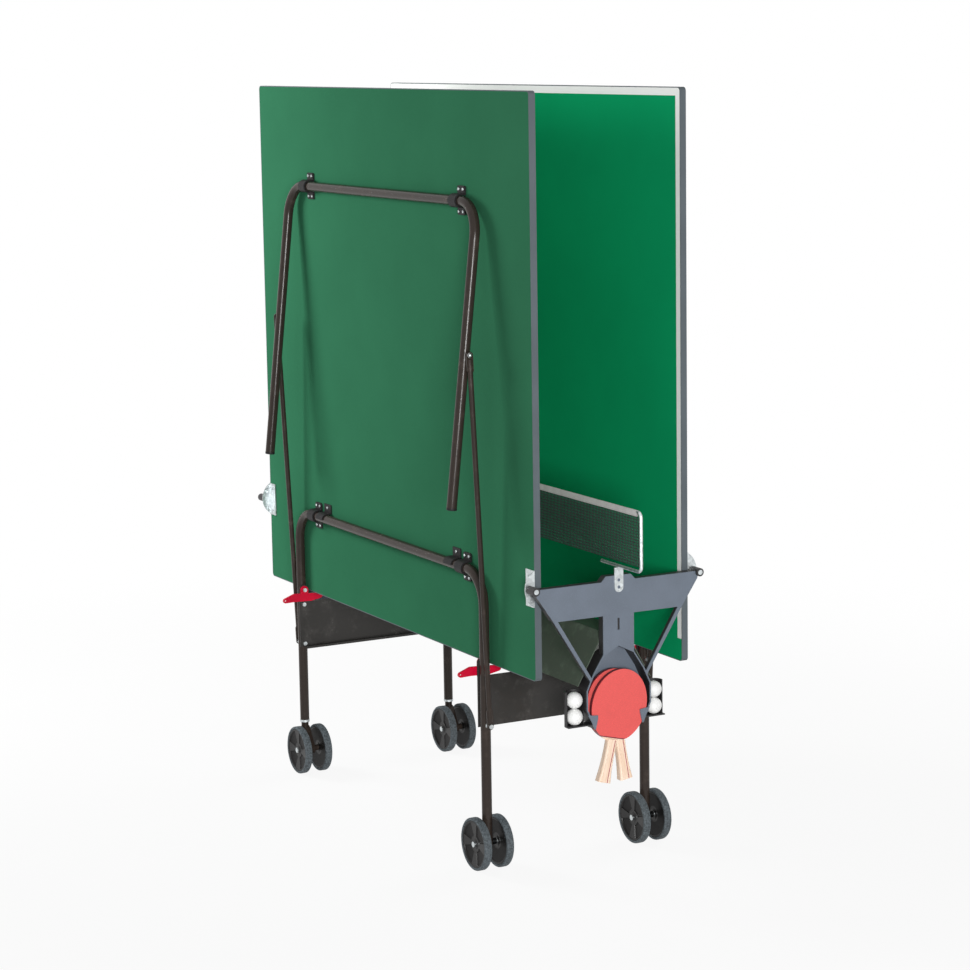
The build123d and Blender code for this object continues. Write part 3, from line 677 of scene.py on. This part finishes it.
class TABLE_OT_end_plates(Operator):
    """Finish the grey end plates and the dark moulding behind them"""

    bl_idname = "table.end_plates"
    bl_label = "End plates"

    def execute(self, context):
        colours = context.scene.ping_pong_table.colours
        paint_nodes(face_grey(colours.face), "end_face_right", "end_face_left")
        dark = plain_plastic("frame_moulding", colours.moulding, 0.48)
        paint_nodes(dark, "end_frame_right", "end_frame_left")
        return {"FINISHED"}


class TABLE_OT_fittings(Operator):
    """Plate the brackets, pins and bolts and colour the levers"""

    bl_idname = "table.fittings"
    bl_label = "Fittings"

    def execute(self, context):
        colours = context.scene.ping_pong_table.colours
        zinc = zinc_plate(colours.zinc)
        for start in ("hinge_brackets", "trolley_bolts", "leg_collars", "net_brackets", "net_post"):
            paint_nodes(zinc, *group_names(start))
        paint_nodes(axle_steel(colours.zinc), "wheel_axles")
        paint_nodes(plain_plastic("lever_red", colours.lever, 0.34, 0.08, 0.2), *group_names("lever"))
        return {"FINISHED"}


class TABLE_OT_screws(Operator):
    """Model one screw head and set copies in the clamps, tabs and brackets"""

    bl_idname = "table.screws"
    bl_label = "Screws"

    def head(self, radius):
        """A round head on the floor plane, with a rounded rim and a recess."""
        height, rounding = radius * 0.6, radius * 0.22
        wall, recess = radius * 0.34, radius * 0.35
        deselect()
        bpy.ops.mesh.primitive_cylinder_add(vertices=24, radius=radius, depth=height)
        screw = bpy.context.object
        edit(screw)
        bpy.ops.mesh.select_all(action="SELECT")
        bpy.ops.transform.translate(value=(0, 0, height / 2))
        pick_faces(screw, lambda centre, normal: normal.z > 0.9)
        bpy.ops.mesh.bevel(offset=rounding, segments=3, affect="EDGES")
        pick_faces(screw, lambda centre, normal: normal.z > 0.99)
        bpy.ops.mesh.inset(thickness=wall)
        bpy.ops.mesh.extrude_region_move(TRANSFORM_OT_translate={"value": (0, 0, -recess)})
        bpy.ops.object.mode_set(mode="OBJECT")
        return settle(screw, "screw_head")

    def execute(self, context):
        sizes = context.scene.ping_pong_table.sizes
        screw = self.head(sizes.screw_head / 2)
        paint(screw, bpy.data.materials["zinc_plate"])
        hole_y, hole_z = CLAMP_HOLES
        # The last value of each place turns the head, so that no two look alike
        for side, s in SIDES:
            out = (s, 0, 0)
            clamp_x = s * (UNDERSIDE + CLAMP_WALL)
            bracket_x = s * (UNDERSIDE + BRACKET_WALL)
            places = []
            for e in (-1, 1):
                for z in (AXIS_Z, PIVOT_Z):
                    for y in (e * CLAMP_Y - hole_y, e * CLAMP_Y + hole_y):
                        places.append(facing(out, (clamp_x, y, z - hole_z), y))
                        places.append(facing(out, (clamp_x, y, z + hole_z), y + 1))
                places.append(facing(out, (bracket_x, e * TAB_Y, AXIS_Z + TAB_HOLE), e))
                places.append(facing(out, (bracket_x, e * BRACKET_Y, AXIS_Z - BRACKET_HOLE), e + 1))
                places.append(facing(out, (bracket_x, e * BRACKET_Y, AXIS_Z + BRACKET_HOLE), e + 2))
            group = copies(screw, f"screws_{side}", places)
            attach(group, f"half_{side}")
        remove(screw)
        return {"FINISHED"}


class TABLE_OT_rivets(Operator):
    """Turn one domed nut and set copies on the heads of the braces"""

    bl_idname = "table.rivets"
    bl_label = "Rivets"

    def execute(self, context):
        dome = [(0, 5.4 * MM), (1.6 * MM, 5.2 * MM), (3.2 * MM, 4.4 * MM), (4.2 * MM, 3.0 * MM)]
        skirt = [(4.4 * MM, 2.2 * MM), (5.9 * MM, 2.0 * MM), (6.3 * MM, 1.5 * MM)]
        foot = [(6.3 * MM, 0), (0, 0)]
        nut = turned("nut", dome + skirt + foot, 32)
        paint(nut, bpy.data.materials["zinc_plate"])
        for side, s in SIDES:
            for end, e in ENDS:
                low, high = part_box(f"brace_{side}_{end}")
                eye_x = high.x - BRACE_EYE if s > 0 else low.x + BRACE_EYE
                outer = high.y if e > 0 else low.y
                place = (eye_x, outer - e * NUT_SEAT, high.z - BRACE_EYE)
                cap = copies(nut, f"brace_nut_{side}_{end}", [facing((0, e, 0), place)])
                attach(cap, f"brace_{side}_{end}")
        remove(nut)
        return {"FINISHED"}


class TABLE_OT_wheels(Operator):
    """Turn a tyre and a dished disc and set one of each on every wheel"""

    bl_idname = "table.wheels"
    bl_label = "Wheels"

    def tyre(self, radius, half, steps):
        """A ring with round shoulders and a lip where it meets the disc."""
        inner = radius - TYRE_DEPTH
        corner = (radius - TYRE_SHOULDER, half - TYRE_SHOULDER)
        outside = arc(corner, TYRE_SHOULDER, 90, 0, 6)
        lip = [(inner, half - 1.6 * MM), (inner + 0.6 * MM, half - 0.4 * MM), (inner + 1.6 * MM, half)]
        edge = lip + outside
        return turned("tyre", edge + [(r, -z) for r, z in reversed(edge)] + edge[:1], steps)

    def disc(self, radius, half, steps):
        """A dished disc: hub round the axle, sloping web and a bead under the tyre."""
        hub = [(5.4 * MM, half - 4.7 * MM), (11 * MM, half - 4.7 * MM), (12 * MM, half - 5.4 * MM)]
        cone = [(13.5 * MM, half - 6 * MM), (16 * MM, half - 5.9 * MM), (WEB_START, half - 5.6 * MM)]
        bead = [(radius - BEAD_WIDTH, half - 2.2 * MM), (radius - 4 * MM, half - 1.2 * MM)]
        bead += [(radius - 1.6 * MM, half - 1.2 * MM), (radius - 0.6 * MM, half - 2 * MM)]
        bead += [(radius, half - 2 * MM)]
        edge = hub + cone + bead
        section = edge + [(r, -z) for r, z in reversed(edge)] + edge[:1]
        return turned("disc", section, steps, DISC_CREASE)

    def spokes(self, disc, outer):
        """Sink darker wedges between the spokes of a disc's front, and darken its back."""
        def web(centre):
            return WEB_START < math.hypot(centre.x, centre.y) < outer

        def wedge(centre, normal):
            turn = math.degrees(math.atan2(centre.y, centre.x)) % SPOKE_PITCH
            return web(centre) and centre.z > 0 and SPOKE_HALF < turn < SPOKE_PITCH - SPOKE_HALF

        edit(disc)
        disc.active_material_index = 1
        pick_faces(disc, wedge)
        bpy.ops.mesh.inset(thickness=WEDGE_INSET)
        bpy.ops.transform.translate(value=(0, 0, -WEDGE_DEPTH))
        bpy.ops.object.material_slot_assign()
        pick_faces(disc, lambda centre, normal: web(centre) and centre.z < 0)
        bpy.ops.object.material_slot_assign()
        bpy.ops.object.mode_set(mode="OBJECT")
        settle(disc, "disc", DISC_CREASE)

    def execute(self, context):
        settings = context.scene.ping_pong_table
        low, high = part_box("wheel_a_right_outer")
        radius = (high.z - low.z) / 2
        half = (high.x - low.x) / 2
        steps = settings.sizes.wheel_facets
        tyre = self.tyre(radius, half, steps)
        paint(tyre, tyre_rubber(settings.colours.tyre))
        rim = radius - TYRE_DEPTH + DISC_LAP
        disc = self.disc(rim, half, steps)
        paint(disc, plain_plastic("disc_plastic", settings.colours.disc, 0.40, shine=0.29))
        dull = plain_plastic("disc_wedge", settings.colours.disc, 0.50, shine=0.14)
        disc.data.materials.append(dull)
        self.spokes(disc, rim - BEAD_WIDTH)
        for name in group_names("wheel_"):
            if name.startswith(("wheel_leg", "wheel_axles")):
                continue
            low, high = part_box(name)
            centre = (low + high) / 2
            outward = Vector((centre.x, 0, 0))
            place = facing(outward if abs(centre.x) > AXIS_X else -outward, centre)
            rolling = copies(tyre, name.replace("wheel", "tyre"), [place])
            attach(rolling, name)
            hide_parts(name)
            web = copies(disc, name.replace("wheel", "disc"), [place])
            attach(web, name)
        remove(tyre)
        remove(disc)
        self.caster_nuts()
        return {"FINISHED"}

    def caster_nuts(self):
        """Six-sided nuts on the axle ends of the casters."""
        flank, height = 8.2 * MM, 4.2 * MM
        rim = [(0, height), (flank * 0.84, height), (flank, height - 0.8 * MM), (flank, 0), (0, 0)]
        nut = turned("axle_nut", rim, 6, 20.0)
        paint(nut, bpy.data.materials["zinc_plate"])
        for side, s in SIDES:
            places = []
            for place, way in (("outer", s), ("inner", -s)):
                low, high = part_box(f"wheel_{side}_left_{place}")
                centre = (low + high) / 2
                places.append(facing((way, 0, 0), centre + Vector((way * AXLE_NUT_SEAT, 0, 0)), turn=0.3))
            group = copies(nut, f"axle_nuts_{side}", places)
            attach(group, f"caster_{side}")
        remove(nut)


class TABLE_OT_net(Operator):
    """Model the knotted net and its folded tape"""

    bl_idname = "table.net"
    bl_label = "Net"

    def cords(self, colours, sizes):
        """A grid of cords, stretched between the posts."""
        low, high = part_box("net_mesh")
        length, height = high.y - low.y, high.z - low.z
        columns = round(length / sizes.net_pitch)
        rows = round(height / sizes.net_pitch)
        cord = sizes.net_cord
        deselect()
        bpy.ops.mesh.primitive_grid_add(
            x_subdivisions=rows, y_subdivisions=columns, size=1.0,
            location=(low + high) / 2, rotation=(0, math.pi / 2, 0),
        )
        net = bpy.context.object
        net.scale = (height - cord, length - cord, 1)
        settle(net, "net")
        apply_modifier(net, "WIREFRAME", thickness=cord, use_even_offset=False, use_replace=True)
        paint(net, net_cord(colours.net))
        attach(net, "trolley")
        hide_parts("net_mesh")

    def band(self, colours):
        """A strip folded over the top of the net, a little wavy at its lower edges."""
        low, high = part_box("net_tape")
        deselect()
        bpy.ops.mesh.primitive_cube_add(size=1.0, location=(low + high) / 2)
        tape = bpy.context.object
        tape.scale = high - low
        settle(tape, "tape")
        edit(tape)
        pick_faces(tape, lambda centre, normal: normal.z < -0.9 or abs(normal.y) > 0.9)
        bpy.ops.mesh.delete(type="FACE")
        pick_faces(tape, lambda centre, normal: normal.z > 0.9)
        bpy.ops.mesh.bevel(offset=TAPE_FOLD, segments=3, affect="EDGES")
        for cut in range(1, TAPE_CUTS):
            bpy.ops.mesh.select_all(action="SELECT")
            y = low.y + (high.y - low.y) * cut / TAPE_CUTS
            bpy.ops.mesh.bisect(plane_co=(0, y, 0), plane_no=(0, 1, 0))
        bpy.ops.object.mode_set(mode="OBJECT")
        for corner in tape.data.vertices:
            slack = (high.z - corner.co.z) / (high.z - low.z)
            wave = math.sin(corner.co.y * 23.0) * math.sin(corner.co.y * 9.1 + 1.0)
            corner.co.x += TAPE_SWAY * slack * wave
        settle(tape, "tape", 60.0)
        paint(tape, tape_weave(colours.tape, low.z + STITCH_RISE))
        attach(tape, "trolley")
        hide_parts("net_tape")

    def execute(self, context):
        settings = context.scene.ping_pong_table
        self.cords(settings.colours, settings.sizes)
        self.band(settings.colours)
        return {"FINISHED"}


class TABLE_OT_bats(Operator):
    """Finish the bats and the balls"""

    bl_idname = "table.bats"
    bl_label = "Bats and balls"

    def execute(self, context):
        colours = context.scene.ping_pong_table.colours
        red = bat_rubber("rubber_red", colours.rubber)
        black = bat_rubber("rubber_black", colours.rubber_back)
        paint_nodes(red, "bat_1_rubber_front", "bat_2_rubber_front")
        paint_nodes(black, "bat_1_rubber_back", "bat_2_rubber_back")
        for number, degrees in enumerate(BAT_TILTS, 1):
            tilt = math.radians(degrees)
            wood = bat_wood(f"bat_wood_{number}", colours, blade_middle(number, tilt), tilt)
            paint_nodes(wood, f"bat_{number}_blade")
        paint_nodes(ball_shell(colours.ball), *group_names("ball"))
        return {"FINISHED"}


class TABLE_OT_stage(Operator):
    """Set the floor, the lights and the camera"""

    bl_idname = "table.stage"
    bl_label = "Stage"

    def lamp(self, name, place, aim, size, power, gloss):
        """A square lamp, seen in reflections only with gloss."""
        deselect()
        bpy.ops.object.light_add(type="AREA", location=place)
        lamp = bpy.context.object
        lamp.name = name
        lamp.data.size = size
        lamp.data.energy = power
        lamp.visible_camera = False
        lamp.visible_glossy = gloss
        lamp.rotation_euler = (Vector(aim) - Vector(place)).to_track_quat("-Z", "Y").to_euler()

    def ground(self):
        """A pale floor that looks nearly white and keeps the shadow."""
        deselect()
        bpy.ops.mesh.primitive_plane_add(size=FLOOR_SIZE, location=(0, 0, 0))
        floor = bpy.context.object
        floor.name = "floor"
        r = Recipe("floor_pale")
        x, y, _ = r.axes()
        away = (x * x + y * y) ** 0.5
        tone = r.mix(r.noise(3.0, 3.0), (0.56, 0.56, 0.56), (0.60, 0.60, 0.60))
        plain = r.node("ShaderNodeBsdfDiffuse", {}, {"Color": tone})
        white = r.node("ShaderNodeEmission", {}, {"Color": (1, 1, 1, 1), "Strength": 1.0})
        share = r.seen_ground() * (FLOOR_WHITE + (1 - FLOOR_WHITE) * away.step(*FLOOR_FADE))
        mixed = r.node("ShaderNodeMixShader", {}, [share, plain, white])
        r.node("ShaderNodeOutputMaterial", {}, [mixed])
        paint(floor, r.material)

    def studio(self, scene):
        """Soft light all round, white where it is seen, and three lamps."""
        scene.world = bpy.data.worlds.new("studio")
        r = Recipe("studio", scene.world)
        soft = r.node("ShaderNodeBackground", {}, {"Color": (1, 1, 1, 1), "Strength": SOFT_LIGHT})
        white = r.node("ShaderNodeBackground", {}, {"Color": (1, 1, 1, 1), "Strength": 1.0})
        mixed = r.node("ShaderNodeMixShader", {}, [r.seen_ground(), soft, white])
        r.node("ShaderNodeOutputWorld", {}, [mixed])
        self.lamp("key", (1.7, -2.5, 1.95), (0.2, -0.3, 1.2), size=1.0, power=105, gloss=False)
        self.lamp("fill", (2.75, 7.15, 1.7), (0, 0.3, 0.9), size=1.8, power=440, gloss=True)
        self.lamp("back", (-4.5, -1.0, 2.0), (0, 0, 0.9), size=3.0, power=160, gloss=False)

    def viewpoint(self, scene):
        """The camera of the photograph."""
        deselect()
        bpy.ops.object.camera_add(location=CAMERA_PLACE)
        camera = bpy.context.object
        camera.name = "camera"
        azimuth, elevation = math.radians(CAMERA_AZIMUTH), math.radians(CAMERA_ELEVATION)
        back = Vector((
            math.sin(azimuth) * math.cos(elevation),
            -math.cos(azimuth) * math.cos(elevation),
            math.sin(elevation),
        ))
        aim = (-back).to_track_quat("-Z", "Y").to_matrix()
        camera.rotation_euler = (aim @ Matrix.Rotation(math.radians(CAMERA_ROLL), 3, "Z")).to_euler()
        camera.data.sensor_width = SENSOR_WIDTH
        camera.data.lens = CAMERA_FOCAL / PHOTO_SIZE * SENSOR_WIDTH
        camera.data.clip_end = 200.0
        scene.camera = camera

    def execute(self, context):
        scene = context.scene
        self.ground()
        self.studio(scene)
        self.viewpoint(scene)
        scene.view_settings.view_transform = "Standard"
        return {"FINISHED"}


class TABLE_PT_panel(Panel):
    """Lists the operators of the table"""

    bl_label = "Ping pong table"
    bl_idname = "TABLE_PT_panel"
    bl_space_type = "VIEW_3D"
    bl_region_type = "UI"
    bl_category = "Table"

    def draw(self, context):
        for operator in OPERATORS:
            self.layout.operator(operator.bl_idname)


OPERATORS = (
    TABLE_OT_boards,
    TABLE_OT_frame,
    TABLE_OT_end_plates,
    TABLE_OT_fittings,
    TABLE_OT_screws,
    TABLE_OT_rivets,
    TABLE_OT_wheels,
    TABLE_OT_net,
    TABLE_OT_bats,
    TABLE_OT_stage,
)
CLASSES = (TableSizes, TableColours, TableSettings, *OPERATORS, TABLE_PT_panel)


def register():
    for item in CLASSES:
        bpy.utils.register_class(item)
    bpy.types.Scene.ping_pong_table = PointerProperty(type=TableSettings)


def unregister():
    del bpy.types.Scene.ping_pong_table
    for item in reversed(CLASSES):
        bpy.utils.unregister_class(item)


def main():
    register()
    bpy.ops.table.boards()
    bpy.ops.table.frame()
    bpy.ops.table.end_plates()
    bpy.ops.table.fittings()
    bpy.ops.table.screws()
    bpy.ops.table.rivets()
    bpy.ops.table.wheels()
    bpy.ops.table.net()
    bpy.ops.table.bats()
    bpy.ops.table.stage()


if __name__ == "__main__":
    main()
